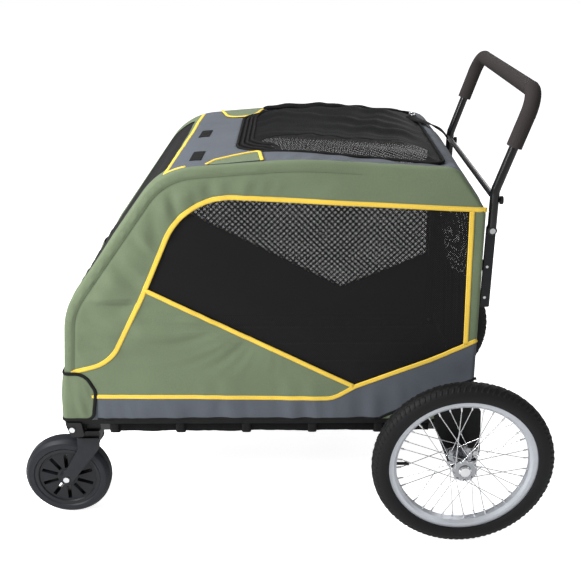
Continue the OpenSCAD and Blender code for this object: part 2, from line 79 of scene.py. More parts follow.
lamp("key_lamp", (-2.0, -1.4, 2.0), (-0.35, 0, 0.6), (0.8, 1.0), 98)
lamp("side_lamp", (2.2, -2.0, 1.3), (0, 0, 0.5), (0.8, 1.4), 5)
lamp("top_lamp", (-0.4, 0.3, 2.6), (-0.1, 0, 0.6), (1.8, 1.4), 26)
lamp("rear_lamp", (1.4, 2.4, 1.8), (0, 0, 0.6), (1.6, 1.2), 14)
world = bpy.data.worlds.new("studio")
bpy.context.scene.world = world
world.use_nodes = True
tree = world.node_tree
dim = tree.nodes["Background"]
dim.inputs["Color"].default_value = (1, 1, 1, 1)
dim.inputs["Strength"].default_value = 0.33
white = tree.nodes.new("ShaderNodeBackground")
white.inputs["Color"].default_value = (1, 1, 1, 1)
seen = tree.nodes.new("ShaderNodeMixShader")
tree.links.new(tree.nodes.new("ShaderNodeLightPath").outputs["Is Camera Ray"], seen.inputs[0])
tree.links.new(dim.outputs[0], seen.inputs[1])
tree.links.new(white.outputs[0], seen.inputs[2])
tree.links.new(seen.outputs[0], tree.nodes["World Output"].inputs[0])


def put(o):
    """Links an object to the scene and gives it back."""
    bpy.context.scene.collection.objects.link(o)
    return o


def mesh_piece(name, verts, faces, materials, smooth=True, slots=None):
    """A mesh object from points in metres, with its faces pointing outwards."""
    mesh = bpy.data.meshes.new(name)
    mesh.from_pydata([tuple(v) for v in verts], [], faces)
    for m in materials:
        mesh.materials.append(m)
    if slots is not None:
        mesh.polygons.foreach_set("material_index", slots)
    mesh.polygons.foreach_set("use_smooth", [smooth] * len(mesh.polygons))
    mesh.update()
    return put(bpy.data.objects.new(name, mesh))


def node(tree, kind, **given):
    """Adds a shader node. A socket's value is a number, a colour or another socket."""
    n = tree.nodes.new(kind)
    for key, value in given.items():
        if hasattr(n, key):
            setattr(n, key, value)
            continue
        socket = n.inputs[int(key[1:])] if key[0] == "i" and key[1:].isdigit() \
            else n.inputs[key.replace("_", " ")]
        if isinstance(value, bpy.types.NodeSocket):
            tree.links.new(value, socket)
        else:
            socket.default_value = value
    return n


def calc(tree, operation, a, b=0.0, c=0.0):
    return node(tree, "ShaderNodeMath", operation=operation, i0=a, i1=b, i2=c).outputs[0]


def group_ends(group):
    """A node group's own inputs and outputs, as sockets to link from and to."""
    return group.nodes.new("NodeGroupInput").outputs, group.nodes.new("NodeGroupOutput").inputs


def effect(name, inputs, outputs):
    """A shader node group with named float or colour inputs and outputs."""
    group = bpy.data.node_groups.new(name, "ShaderNodeTree")
    kinds = {float: "NodeSocketFloat", tuple: "NodeSocketColor"}
    for label, value in inputs.items():
        s = group.interface.new_socket(label, in_out="INPUT", socket_type=kinds[type(value)])
        s.default_value = value
    for label, kind in outputs.items():
        group.interface.new_socket(label, in_out="OUTPUT", socket_type=kinds[kind])
    return group, *group_ends(group)


def material(name):
    """A new material: its tree, its Principled node and the material itself."""
    m = bpy.data.materials.new(name)
    m.use_nodes = True
    return m, m.node_tree, m.node_tree.nodes["Principled BSDF"]


def use(tree, group, **values):
    g = tree.nodes.new("ShaderNodeGroup")
    g.node_tree = group
    for key, value in values.items():
        g.inputs[key.replace("_", " ")].default_value = value
    return g.outputs


def two_tones(tree, mask, dark, pale):
    """A mix from a dark to a pale colour by a mask. Either end can be linked over afterwards."""
    mix = node(tree, "ShaderNodeMix", data_type="RGBA", Factor=mask)
    mix.inputs[6].default_value, mix.inputs[7].default_value = (*dark, 1), (*pale, 1)
    return mix.outputs[2]


def ranged(tree, value, low, high, **given):
    """A value stretched to run from low to high."""
    return node(tree, "ShaderNodeMapRange", Value=value, To_Min=low, To_Max=high,
                **given).outputs[0]


def roughened(tree, shader, height, strength, depth):
    """Bump on a shader's normal."""
    tree.links.new(node(tree, "ShaderNodeBump", Height=height, Strength=strength,
                        Distance=depth).outputs[0], shader.inputs["Normal"])


STAGE, FLOOR_Z = 14, -0.0006     # half the floor's width and its height, in metres
floor_finish, tree, shader = material("studio_floor")
shader.inputs["Base Color"].default_value = (0.95, 0.95, 0.95, 1)
shader.inputs["Roughness"].default_value = 0.7
shader.inputs["Emission Color"].default_value = (1, 1, 1, 1)
lit = tree.nodes.new("ShaderNodeLightPath").outputs["Is Camera Ray"]
tree.links.new(calc(tree, "MULTIPLY", lit, 0.85), shader.inputs["Emission Strength"])
corners = [(x * STAGE, y * STAGE, FLOOR_Z) for x, y in ((-1, -1), (1, -1), (1, 1), (-1, 1))]
mesh_piece("studio_floor", corners, [(0, 1, 2, 3)], [floor_finish])


# ---- Painted tube frame ----
# Steel tube and square rail, bent and welded, with a satin black powder coat. The leg brackets
# are laser-cut plate in the same coat, and the flat handle posts are a dark grey.
grain, given, out = effect("surface_grain", {"Size": 300.0, "Spread": 0.3},
                           {"Mask": float, "Height": float})
place = grain.nodes.new("ShaderNodeTexCoord").outputs["Object"]
fine = node(grain, "ShaderNodeTexNoise", Vector=place, Scale=given["Size"], Detail=3.0)
broad = node(grain, "ShaderNodeTexNoise", Vector=place, Scale=7.0, Detail=4.0)
mixed = calc(grain, "ADD", calc(grain, "MULTIPLY", fine.outputs[0], 0.5),
             calc(grain, "MULTIPLY", broad.outputs[0], 0.5))
grain.links.new(calc(grain, "MULTIPLY_ADD", calc(grain, "SUBTRACT", mixed, 0.5),
                     given["Spread"], 0.5), out["Mask"])
grain.links.new(fine.outputs[0], out["Height"])

worn, given, out = effect("edge_wear", {"Amount": 0.4}, {"Mask": float})
shape = worn.nodes.new("ShaderNodeNewGeometry").outputs["Pointiness"]
place = worn.nodes.new("ShaderNodeTexCoord").outputs["Object"]
patch = node(worn, "ShaderNodeTexNoise", Vector=place, Scale=60.0, Detail=4.0).outputs[0]
raised = node(worn, "ShaderNodeMapRange", Value=shape, From_Min=0.53, From_Max=0.6).outputs[0]
worn.links.new(calc(worn, "MULTIPLY", calc(worn, "MULTIPLY", raised, patch), given["Amount"]),
               out["Mask"])


def solid_finish(name, colour, rough, metal=0.0, size=300.0, bump=0.1, depth=0.0002, wear=0.3,
                 spread=0.5, shine=0.22):
    """Paint, plastic, metal or rubber: grain in its colour and gloss, and paler, rubbed edges."""
    m, tree, shader = material(name)
    marks = use(tree, grain, Size=size, Spread=spread)
    rub = use(tree, worn, Amount=wear)
    tone = two_tones(tree, marks["Mask"], [c * 0.82 for c in colour],
                     [min(1, c * 1.2) for c in colour])
    edge = two_tones(tree, rub["Mask"], colour, [min(1, c * 1.6 + 0.03) for c in colour])
    tree.links.new(tone, edge.node.inputs[6])
    tree.links.new(edge, shader.inputs["Base Color"])
    tree.links.new(ranged(tree, marks["Mask"], rough * 0.82, min(1, rough * 1.18)),
                   shader.inputs["Roughness"])
    shader.inputs["Metallic"].default_value = metal
    shader.inputs["Specular IOR Level"].default_value = shine
    roughened(tree, shader, marks["Height"], bump, depth)
    return m


def finish_nodes(m, *names):
    """Puts a material on CAD nodes, by name."""
    for o in (nodes[n] for n in names):
        if not o.material_slots:
            o.data.materials.append(m)
        for slot in o.material_slots:
            slot.link, slot.material = "OBJECT", m


frame_black = solid_finish("frame_powder_coat", (0.0065, 0.0068, 0.0075), 0.24, size=500,
                           bump=0.1, shine=0.5)
post_grey = solid_finish("post_grey_coat", (0.014, 0.0155, 0.018), 0.36, size=500, bump=0.15)
finish_nodes(frame_black, "base_rail_left", "base_rail_right", "base_front_crossbar",
             "base_rear_crossbar", "rear_hinge_brackets", "rear_axle", "front_hoop", "rear_bow",
             "handle_tube", "handle_crossbar")
plate_black = solid_finish("leg_plate_coat", (0.004, 0.0042, 0.0046), 0.5, size=500, bump=0.15,
                           shine=0.14)
finish_nodes(post_grey, "handle_posts")
finish_nodes(plate_black, "leg_bracket_left", "leg_bracket_right")


# ---- Plastic castings ----
# Black nylon corner blocks that hold the rails, the hoop's hinges and the caster stems, and the
# small clamp knobs on the handle. They are moulded with a fine spark texture.
nylon_black = solid_finish("moulded_nylon", (0.0075, 0.0075, 0.008), 0.45, size=900, bump=0.3,
                           wear=0.2)
finish_nodes(nylon_black, "corner_bracket_left", "corner_bracket_right", "knob_left", "knob_right")


# ---- Bright fixings ----
# Zinc-plated pins, bolts and rivets, and the polished caps on the rear axle's ends.
zinc = solid_finish("zinc_plate", (0.56, 0.57, 0.58), 0.3, metal=1.0, size=700, bump=0.08,
                    spread=0.9)
chrome = solid_finish("polished_chrome", (0.72, 0.73, 0.75), 0.12, metal=1.0, size=80, bump=0.02)
finish_nodes(zinc, "hoop_pins", "rear_hinge_pins", "leg_bolts", "post_bolts", "handle_rivets",
             "caster_bolt_left", "caster_bolt_right")
finish_nodes(chrome, "axle_caps")


# ---- Handle grip ----
# A closed-cell foam sleeve pushed over the handle's loop, with a dull, slightly brown skin that
# is finely pitted.
foam_skin = solid_finish("foam_skin", (0.036, 0.030, 0.030), 0.86, size=1400, bump=0.5,
                         depth=0.0004, wear=0.25, shine=0.15)
finish_nodes(foam_skin, "handle_grip")


# ---- Casters ----
# One-piece moulded wheels with radial slots and a solid rubber tread, in pressed steel forks
# painted dark grey.
caster_plastic = solid_finish("caster_plastic", (0.0095, 0.0105, 0.013), 0.42, size=700, bump=0.2)
caster_rubber = solid_finish("caster_rubber", (0.013, 0.0145, 0.019), 0.5, size=260, bump=0.35)
fork_grey = solid_finish("fork_grey_coat", (0.009, 0.0105, 0.0135), 0.42, size=600, bump=0.15)
finish_nodes(caster_plastic, "caster_wheel_left", "caster_wheel_right")
finish_nodes(caster_rubber, "caster_tyre_left", "caster_tyre_right")
finish_nodes(fork_grey, "caster_fork_left", "caster_fork_right")


# ---- Rear wheels ----
# Silver box-section rims laced with crossed spokes to a high-flange hub, and black pneumatic
# tyres whose crown has a fine chevron tread.
rim_silver = solid_finish("rim_silver", (0.52, 0.545, 0.585), 0.34, metal=0.5, size=90, bump=0.03,
                          wear=0.1)
spoke_steel = solid_finish("spoke_steel", (0.66, 0.67, 0.69), 0.22, metal=0.9, size=200, bump=0.02)
hub_steel = solid_finish("hub_steel", (0.34, 0.35, 0.37), 0.2, metal=1.0, size=60, bump=0.04,
                         spread=0.9)
tyre_black = solid_finish("tyre_rubber", (0.0075, 0.0075, 0.0085), 0.6, size=420, bump=0.5)
tube_black = solid_finish("valve_rubber", (0.01, 0.01, 0.01), 0.5)
for side in ("left", "right"):
    finish_nodes(rim_silver, f"rear_rim_{side}")
    finish_nodes(spoke_steel, f"rear_spokes_{side}")
    finish_nodes(hub_steel, f"rear_hub_{side}")
    finish_nodes(tyre_black, f"rear_tyre_{side}")
    finish_nodes(tube_black, f"inner_tube_{side}")


def geometry_tree(name, inputs):
    """A Geometry Nodes tree with named inputs: the tree, its inputs and its end sockets."""
    tree = bpy.data.node_groups.new(name, "GeometryNodeTree")
    tree.interface.new_socket("Geometry", in_out="INPUT", socket_type="NodeSocketGeometry")
    tree.interface.new_socket("Geometry", in_out="OUTPUT", socket_type="NodeSocketGeometry")
    for label, value in inputs.items():
        kind = "Material" if value is None else "Int" if isinstance(value, int) else "Float"
        socket = tree.interface.new_socket(label, in_out="INPUT", socket_type="NodeSocket" + kind)
        if value is not None:
            socket.default_value = value
    return tree, *group_ends(tree)


def grown(name, verts, edges, faces, tree, **values):
    """Runs a Geometry Nodes tree on a small mesh in metres and keeps the result as a plain mesh."""
    mesh = bpy.data.meshes.new(name + "_seed")
    mesh.from_pydata([tuple(v) for v in verts], edges, faces)
    seed = put(bpy.data.objects.new(name + "_seed", mesh))
    made = seed.modifiers.new("grow", "NODES")
    made.node_group = tree
    for item in tree.interface.items_tree:
        if item.in_out == "INPUT" and item.name in values:
            made[item.identifier] = values[item.name]
    bpy.context.view_layer.update()
    ready = seed.evaluated_get(bpy.context.evaluated_depsgraph_get())
    result = bpy.data.meshes.new_from_object(ready)
    seed.modifiers.remove(made)
    bpy.data.objects.remove(seed)
    result.name = name
    result.polygons.foreach_set("use_smooth", [True] * len(result.polygons))
    return put(bpy.data.objects.new(name, result))


ring_array, given, out = geometry_tree("ring_array", {"Count": 120, "Finish": None})
spots = node(ring_array, "GeometryNodePoints", Count=given["Count"]).outputs[0]
index = ring_array.nodes.new("GeometryNodeInputIndex").outputs[0]
step = calc(ring_array, "DIVIDE", 2 * math.pi, given["Count"])
turned = node(ring_array, "ShaderNodeCombineXYZ",
              Y=calc(ring_array, "MULTIPLY", index, step)).outputs[0]
copies = node(ring_array, "GeometryNodeInstanceOnPoints", Points=spots, Instance=given["Geometry"],
              Rotation=turned).outputs[0]
solid = node(ring_array, "GeometryNodeRealizeInstances", Geometry=copies).outputs[0]
ring_array.links.new(node(ring_array, "GeometryNodeSetMaterial", Geometry=solid,
                          Material=given["Finish"]).outputs[0], out["Geometry"])


def bar_mesh(rows):
    """A closed bar through rows of four corner points, as vertices and faces."""
    verts = [p for r in rows for p in r]
    faces = [(3, 2, 1, 0), tuple(len(verts) - 4 + k for k in range(4))]
    for i in range(len(rows) - 1):
        a = 4 * i
        faces += [(a + k, a + (k + 1) % 4, a + 4 + (k + 1) % 4, a + 4 + k) for k in range(4)]
    return verts, faces


# The tyre's section is a circle of radius TYRE round a ring of radius RING, in mm.
RING, TYRE = 177, 23


def rear_tread(reach, slope, width, proud):
    """One tread block: it follows the tyre's round section outwards, leaning back as it goes."""
    rows = []
    for k in range(7):
        y = reach[0] + (reach[1] - reach[0]) * k / 6
        r = RING + math.sqrt(TYRE ** 2 - y ** 2)
        lean = abs(y) * slope
        rows.append([((r + h) * MM, y * MM, (lean + w) * MM) for h, w in
                     ((-1.5, 0), (proud, 0.25 * width), (proud, 0.75 * width), (-1.5, width))])
    return bar_mesh(rows)


# A chevron of wide, low blocks on the crown and a row of short, proud ones on each shoulder.
tread_rows = (((0.5, 10), 1.1, 11, 0.5, 62), ((-10, -0.5), 1.1, 11, 0.5, 62),
              ((11.5, 19.5), 0.45, 7.5, 1.3, 96), ((-19.5, -11.5), 0.45, 7.5, 1.3, 96))
head_ring, head_radius, head_y, head_height = 24, 1.7, 28.9, 1.2
for side, name in ((-1, "left"), (1, "right")):
    middle = np.array([0.402, side * 0.355, 0.2])
    for k, (*block, count) in enumerate(tread_rows):
        verts, faces = rear_tread(*block)
        ring = grown(f"rear_tread_{name}_{k + 1}", verts, [], faces, ring_array, Count=count,
                     Finish=tyre_black)
        ring.data.transform(Matrix.Translation(middle))
        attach(ring, f"rear_wheel_{name}")
    # Low cones for the spoke heads on the hub's outer flange.
    verts = [((head_ring + head_radius * math.cos(a)) * MM, side * head_y * MM,
              head_radius * math.sin(a) * MM) for a in np.linspace(0, 2 * math.pi, 9)[:-1]]
    verts.append((head_ring * MM, side * (head_y + head_height) * MM, 0))
    faces = [(i, (i + 1) % 8, 8) if side < 0 else ((i + 1) % 8, i, 8) for i in range(8)]
    heads = grown(f"spoke_heads_{name}", verts, [], faces, ring_array, Count=18, Finish=spoke_steel)
    heads.data.transform(Matrix.Translation(middle))
    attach(heads, f"rear_wheel_{name}")


# ---- Cabin cloth ----
# Plain-woven polyester with a coated, black back. It is cut in panels and sewn into one closed
# skin that folds softly from the sides over the roof, held out by the tubes inside it.
weave, given, out = effect("plain_weave", {"Pitch": 0.0011, "Mottle": 0.3},
                           {"Shade": float, "Height": float})
place = weave.nodes.new("ShaderNodeTexCoord").outputs["Object"]
parts = node(weave, "ShaderNodeSeparateXYZ", Vector=place).outputs
turns = calc(weave, "DIVIDE", 2 * math.pi, given["Pitch"])
warp = calc(weave, "SINE", calc(weave, "MULTIPLY", parts["X"], turns))
slant = calc(weave, "ADD", parts["Y"], parts["Z"])
weft = calc(weave, "SINE", calc(weave, "MULTIPLY", slant, turns))
threads = calc(weave, "MULTIPLY", warp, weft)
fleck = node(weave, "ShaderNodeTexNoise", Vector=place, Scale=520.0, Detail=2.0).outputs[0]
cloud = node(weave, "ShaderNodeTexNoise", Vector=place, Scale=9.0, Detail=5.0).outputs[0]
shade = calc(weave, "MULTIPLY_ADD", calc(weave, "SUBTRACT", fleck, 0.5), given["Mottle"],
             calc(weave, "MULTIPLY_ADD", calc(weave, "SUBTRACT", cloud, 0.5), given["Mottle"], 1.0))
weave.links.new(calc(weave, "MULTIPLY_ADD", threads, 0.04, shade), out["Shade"])
weave.links.new(calc(weave, "MULTIPLY_ADD", threads, 0.5, fleck), out["Height"])


def cloth(name, colour, rough=0.78, pitch=0.0011, sheen=0.06, bump=0.35, shine=0.18):
    """Woven cloth or tape, with the weave in its colour, its gloss and its bump."""
    m, tree, shader = material(name)
    threads = use(tree, weave, Pitch=pitch, Mottle=0.3)
    tone = node(tree, "ShaderNodeVectorMath", operation="SCALE", i3=threads["Shade"])
    tone.inputs[0].default_value = colour
    tree.links.new(tone.outputs[0], shader.inputs["Base Color"])
    tree.links.new(ranged(tree, threads["Shade"], rough - 0.08, rough + 0.08,
                          From_Min=0.8, From_Max=1.2), shader.inputs["Roughness"])
    shader.inputs["Sheen Weight"].default_value = sheen
    shader.inputs["Sheen Roughness"].default_value = 0.4
    shader.inputs["Specular IOR Level"].default_value = shine
    roughened(tree, shader, threads["Height"], bump, 0.0004)
    return m


green_cloth = cloth("green_cloth", (0.148, 0.188, 0.114))
grey_cloth = cloth("grey_cloth", (0.094, 0.106, 0.126))
black_cloth = cloth("black_cloth", (0.0042, 0.0044, 0.005), rough=0.66, sheen=0.0, shine=0.1)
black_lining = cloth("black_lining", (0.0065, 0.007, 0.007), rough=0.6, sheen=0.0)
yellow_tape = cloth("yellow_tape", (0.86, 0.60, 0.085), pitch=0.0016, bump=0.5, sheen=0.05)
black_tape = cloth("black_tape", (0.0075, 0.0075, 0.008), pitch=0.0016, bump=0.5, sheen=0.0)
stitch_yellow = solid_finish("stitch_yellow", (0.62, 0.42, 0.06), 0.6)
# The stitching along the tube's sleeve is real, but its dark colour is painted shade: it stands in
# for the thin shadow line that runs beside the sleeve.
stitch_painted_shadow_line = solid_finish("stitch_painted_shadow_line", (0.07, 0.085, 0.055), 0.6)

# The woven netting of the windows: threads on the diagonal with open cells between.
netting, given, out = effect("open_netting", {"Pitch": 0.003, "Thread": 0.3}, {"Threads": float})
parts = node(netting, "ShaderNodeSeparateXYZ",
             Vector=netting.nodes.new("ShaderNodeTexCoord").outputs["Object"]).outputs
slant = calc(netting, "ADD", parts["Y"], parts["Z"])
lines = []
for sign in ("ADD", "SUBTRACT"):
    run = calc(netting, "DIVIDE", calc(netting, sign, parts["X"], slant), given["Pitch"])
    lines.append(calc(netting, "LESS_THAN", calc(netting, "FRACT", run), given["Thread"]))
netting.links.new(calc(netting, "MAXIMUM", lines[0], lines[1]), out["Threads"])


def net(name, colour, thread=0.56):
    """Netting: the open cells are cut out by the shader's alpha."""
    m, tree, shader = material(name)
    cells = use(tree, netting, Pitch=0.0042, Thread=thread)
    shades = use(tree, grain, Size=900.0, Spread=0.6)
    tree.links.new(two_tones(tree, shades["Mask"], [c * 0.7 for c in colour],
                             [c * 1.3 for c in colour]), shader.inputs["Base Color"])
    shader.inputs["Roughness"].default_value = 0.55
    shader.inputs["Specular IOR Level"].default_value = 0.15
    tree.links.new(cells["Threads"], shader.inputs["Alpha"])
    return m


black_net = net("black_net", (0.009, 0.009, 0.0095))
front_black_net = net("front_black_net", (0.012, 0.012, 0.013), thread=0.8)


def rounded(corners, steps=12, closed=False):
    """A path through (x, z, radius) corners in millimetres, as 2-D points."""
    path, n = [], len(corners)
    for i, (x, z, r) in enumerate(corners):
        if r == 0 or (not closed and i in (0, n - 1)):
            path.append(Vector((x, z)))
            continue
        a, b, c = (Vector(corners[(i + k) % n][:2]) for k in (-1, 0, 1))
        u, w = (a - b).normalized(), (c - b).normalized()
        half = math.acos(max(-1, min(1, u.dot(w)))) / 2
        centre = b + (u + w).normalized() * r / math.sin(half)
        start = b + u * r / math.tan(half) - centre
        end = b + w * r / math.tan(half) - centre
        sense = 1 if start.x * end.y > start.y * end.x else -1
        for k in range(steps + 1):
            q = sense * (math.pi - 2 * half) * k / steps
            path.append(centre + Vector((start.x * math.cos(q) - start.y * math.sin(q),
                                         start.x * math.sin(q) + start.y * math.cos(q))))
    return path


def spaced(path, gap, closed=False):
    """The same path with points at even distances of about gap."""
    p = np.array([tuple(v) for v in path] + ([tuple(path[0])] if closed else []), float)
    run = np.concatenate([[0], np.cumsum(np.linalg.norm(np.diff(p, axis=0), axis=1))])
    n = max(2, int(round(run[-1] / gap)) + 1)
    at = np.linspace(0, run[-1], n)[:-1 if closed else None]
    return np.stack([np.interp(at, run, p[:, k]) for k in range(p.shape[1])], axis=1)


def normals_of(p):
    d = np.gradient(p, axis=0)
    d /= np.linalg.norm(d, axis=1)[:, None]
    return np.stack([d[:, 1], -d[:, 0]], axis=1)


# In mm: half the cabin's width, the radius of the fold from side to roof, how far in from the
# outline the tube's sleeve is sewn down, and the height of the cabin's foot.
HALF, FOLD, SLEEVE, FOOT = 285.0, 9.0, 23.0, 272.0
outline = spaced(rounded([(-487, FOOT, 0), (-459, 542, 170), (-238, 846, 150), (40, 866, 900),
                          (360, 847, 40), (424, 757, 30), (431, FOOT, 0)]), 7)
inward = normals_of(outline)
run_of = np.concatenate([[0], np.cumsum(np.linalg.norm(np.diff(outline, axis=0), axis=1))])
window = spaced(rounded([(-283, 588, 4), (-189, 795, 150), (396, 761, 4), (402, 457, 4),
                         (262, 394, 60), (165, 354, 4)], closed=True), 6, closed=True)
upper_tape = spaced(rounded([(-456, 391, 0), (-368, 418, 90), (-289, 572, 200), (-189, 795, 150),
                             (424, 760, 0)]), 6)
lower_tape = spaced(rounded([(-418, 332, 0), (118, 325, 60), (165, 354, 30), (330, 420, 200),
                             (427, 467, 0)]), 6)
rear_tape = spaced([(394, 758), (403, 457)], 6)
diagonal_tape = spaced([(-282, 586), (163, 355)], 6)
rear_hem = spaced(rounded([(218, 271, 0), (382, 353, 60), (433, 373, 0)]), 6)


def inside(points, loop):
    """Which 2-D points lie inside a closed loop."""
    x, y = points[:, 0], points[:, 1]
    hit = np.zeros(len(points), bool)
    for (x0, y0), (x1, y1) in zip(loop, np.roll(loop, -1, axis=0)):
        cross = (y0 > y) != (y1 > y)
        if cross.any():
            hit[cross] ^= x[cross] < (x1 - x0) * (y[cross] - y0) / (y1 - y0) + x0
    return hit


def nearest(points, path):
    """Each point's distance to a path given as close points."""
    d = np.full(len(points), 1e9)
    for q in path:
        d = np.minimum(d, np.hypot(points[:, 0] - q[0], points[:, 1] - q[1]))
    return d


def cut(lines, grid, keep):
    """Triangles over a flat cut. Edges follow lines, as (points, closed); grid fills between."""
    pts, edges = [], []
    for line, closed in lines:
        first = len(pts)
        pts += [tuple(v) for v in line]
        edges += [(first + i, first + i + 1) for i in range(len(line) - 1)]
        if closed:
            edges.append((len(pts) - 1, first))
    fixed = np.array(pts)
    free = grid[nearest(grid, fixed) > 3.5]
    pts += [tuple(v) for v in free]
    got = geometry.delaunay_2d_cdt([Vector(v) for v in pts], edges, [], 0, 1e-5)
    verts = np.array([tuple(v) for v in got[0]])
    faces = [f for f in got[2] if len(f) == 3]
    mid = np.array([verts[list(f)].mean(axis=0) for f in faces])
    kept = keep(mid)
    faces = [f for f, k in zip(faces, kept) if k]
    mid = mid[kept]
    used = sorted({v for f in faces for v in f})
    index = {v: i for i, v in enumerate(used)}
    return verts[used], [tuple(index[v] for v in f) for f in faces], mid


def smooth(t):
    """An eased step from 0 to 1."""
    t = np.clip(t, 0, 1)
    return t * t * (3 - 2 * t)


def noise_at(x, y, z):
    """Noise for whole columns of places; z is one number."""
    return np.array([noise.noise(Vector((a, b, z))) for a, b in zip(x, y)])


def creases(x, z, size, lean, seed):
    """Long soft folds: noise stretched along a direction that leans by some degrees."""
    c, s = math.cos(math.radians(lean)), math.sin(math.radians(lean))
    return noise_at((x * c + z * s) / size, (z * c - x * s) / (size * 6), seed)


def wall_relief(p, seed=0.0):
    """How far the side cloth stands out, in mm: folds fan out round the window's front corner, the
    low band drapes, and the cloth is stitched down beside the sleeve that holds the tube."""
    x, z = p[:, 0], p[:, 1]
    d = nearest(p, outline)
    swell = noise_at(x / 150, z / 170, 3.1 + seed)
    front, low, high = smooth((40 - x) / 260), smooth((400 - z) / 120), smooth((z - 360) / 120)
    turn, reach = np.arctan2(z - 560, x + 20), np.hypot(x + 20, z - 560)
    fan = 3.6 * noise_at(turn * 5.5 + reach / 90, reach / 230, 1.7 + seed) \
        + 2.6 * noise_at(turn * 12 + reach / 60, reach / 190, 6.1 + seed)
    to_tape = np.minimum(nearest(p, upper_tape), nearest(p, diagonal_tape))
    by_tape = 0.25 + 0.75 * smooth(to_tape / 34)
    by_band = 0.3 + 0.7 * smooth(nearest(p, lower_tape) / 25)
    folds = fan * (0.7 + 2.1 * front) * high * by_tape \
        + creases(x, z, 27, 8, 5.2 + seed) * 4.5 * low * by_band
    sleeve = smooth((180 - x) / 80) * smooth((z - 290) / 40)
    tube = 2.2 * np.sin(math.pi * np.clip((d - FOLD) / (SLEEVE - FOLD), 0, 1)) * sleeve
    sewn = 1.6 * np.exp(-((d - SLEEVE) / 3.0) ** 2) * sleeve
    free = smooth((d - FOLD) / 55) * (1 - 0.75 * sleeve * (1 - smooth((d - SLEEVE) / 25)))
    return np.maximum(-1.5, (swell * 3.0 + folds + 1.4) * free + tube - sewn)


def thicken(o, thick, lining=None):
    """Gives a cloth its thickness, inwards, with the lining's slots after the outer ones."""
    m = o.modifiers.new("cloth", "SOLIDIFY")
    m.thickness, m.offset = thick * MM, -1
    if lining:
        m.material_offset = lining
    return o


fold_angles = [math.radians(a) for a in (0, 22, 45, 67, 90)]
rows = [outline + inward * FOLD * (1 - math.cos(a)) for a in fold_angles]
rows_y = [HALF - FOLD + FOLD * math.sin(a) for a in fold_angles]
for r in rows:
    r[0, 1] = r[-1, 1] = FOOT
gx, gz = np.meshgrid(np.arange(-480, 430, 8.0), np.arange(276, 870, 8.0))
gx = gx + 4.0 * (np.arange(gx.shape[0]) % 2)[:, None]
wall_grid = np.stack([gx.ravel(), gz.ravel()], axis=1)
wall_grid = wall_grid[inside(wall_grid, np.array(rows[4])) & (nearest(wall_grid, rows[4]) > 4)]
hem_line = np.stack([np.arange(-470, 425, 8.0), np.full(112, FOOT)], axis=1)
shown_loop = np.array(rows[0])


def below(mid, path):
    """Which points lie under a path that runs along x."""
    return mid[:, 1] < np.interp(mid[:, 0], path[:, 0], path[:, 1])


on_tubes = ("front_hoop", "rear_bow")


def pattern(v, faces):
    """A flat cut's width, length and area in metres, from its 2-D points in mm."""
    a, b, c = (v[[f[k] for f in faces]] for k in range(3))
    area = np.abs(np.cross(b - a, c - a)).sum() / 2
    return (*((v.max(axis=0) - v.min(axis=0)) * MM), area * MM * MM)


def sewn_on(piece, cut_size=None, others=(), held="stretched", rests_on=on_tubes):
    """Gives a piece and what is sewn to it their own meshes and attaches them to the chassis. The
    cut size is not used."""
    for o in (piece, *others):
        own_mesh(o)
        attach(o, "chassis")


walls, patterns = {}, {}
wall_lines = [(r, False) for r in rows] + [
    (window, True), (lower_tape[lower_tape[:, 0] < 414], False), (hem_line, False),
    (rear_hem[(rear_hem[:, 0] < 414) & (rear_hem[:, 0] > 222)], False)]
sleeve_part = (outline[:, 0] < 175) & (outline[:, 1] > 300)
sleeve_lines = [outline[sleeve_part] + inward[sleeve_part] * (SLEEVE + k) for k in (-4, 0, 4)]
wall_lines += [(line, False) for line in sleeve_lines]
flat, faces, mid = cut(wall_lines, wall_grid,
                       lambda m: inside(m, shown_loop) & ~inside(m, window))
row_of = [nearest(flat, r) < 0.01 for r in rows]
grey_part = below(mid, lower_tape) & (mid[:, 0] > -418) \
    & ~(below(mid, rear_hem) & (mid[:, 0] > 218))

# The side window's netting is cut 7 mm bigger all round than its opening.
window_in = normals_of(np.vstack([window[-1:], window, window[:1]]))[1:-1]
net_loop = spaced(window - 7 * window_in, 8, closed=True)
net_flat, net_faces, _ = cut([(net_loop, True)], wall_grid[inside(wall_grid, net_loop)],
                             lambda m: inside(m, net_loop))


def side_piece(name, side, flat, y, faces, finishes, slots=None):
    """A mesh from a flat cut in x and z, with its distance y from the middle."""
    verts = [(x * MM, side * v * MM, z * MM) for (x, z), v in zip(flat, y)]
    return mesh_piece(name, verts, faces if side < 0 else [f[::-1] for f in faces], finishes,
                      slots=slots)


for side, name, seed in ((-1, "left", 0.0), (1, "right", 11.0)):
    y = HALF + wall_relief(flat, seed)
    for k in range(4, -1, -1):
        y[row_of[k]] = rows_y[k]
    wall = side_piece(f"side_wall_{name}", side, flat, y, faces,
                      [green_cloth, grey_cloth, black_lining, black_lining], grey_part.astype(int))
    thicken(wall, 0.9, 2)
    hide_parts(f"side_panel_{name}")
    walls[name] = wall, pattern(flat, faces)

    net_y = HALF - 1.7 + 1.2 * smooth(nearest(net_flat, net_loop) / 90)
    pane = side_piece(f"side_net_{name}", side, net_flat, net_y, net_faces, [black_net])
    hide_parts(f"side_mesh_{name}")
    sewn_on(pane, pattern(net_flat, net_faces))


def beside(pts, out):
    """Along a 3-D path, the unit directions ahead and sideways; out is its outward normals."""
    ahead = np.gradient(pts, axis=0)
    ahead /= np.linalg.norm(ahead, axis=1)[:, None]
    sideways = np.cross(ahead, out)
    return ahead, sideways / np.linalg.norm(sideways, axis=1)[:, None]


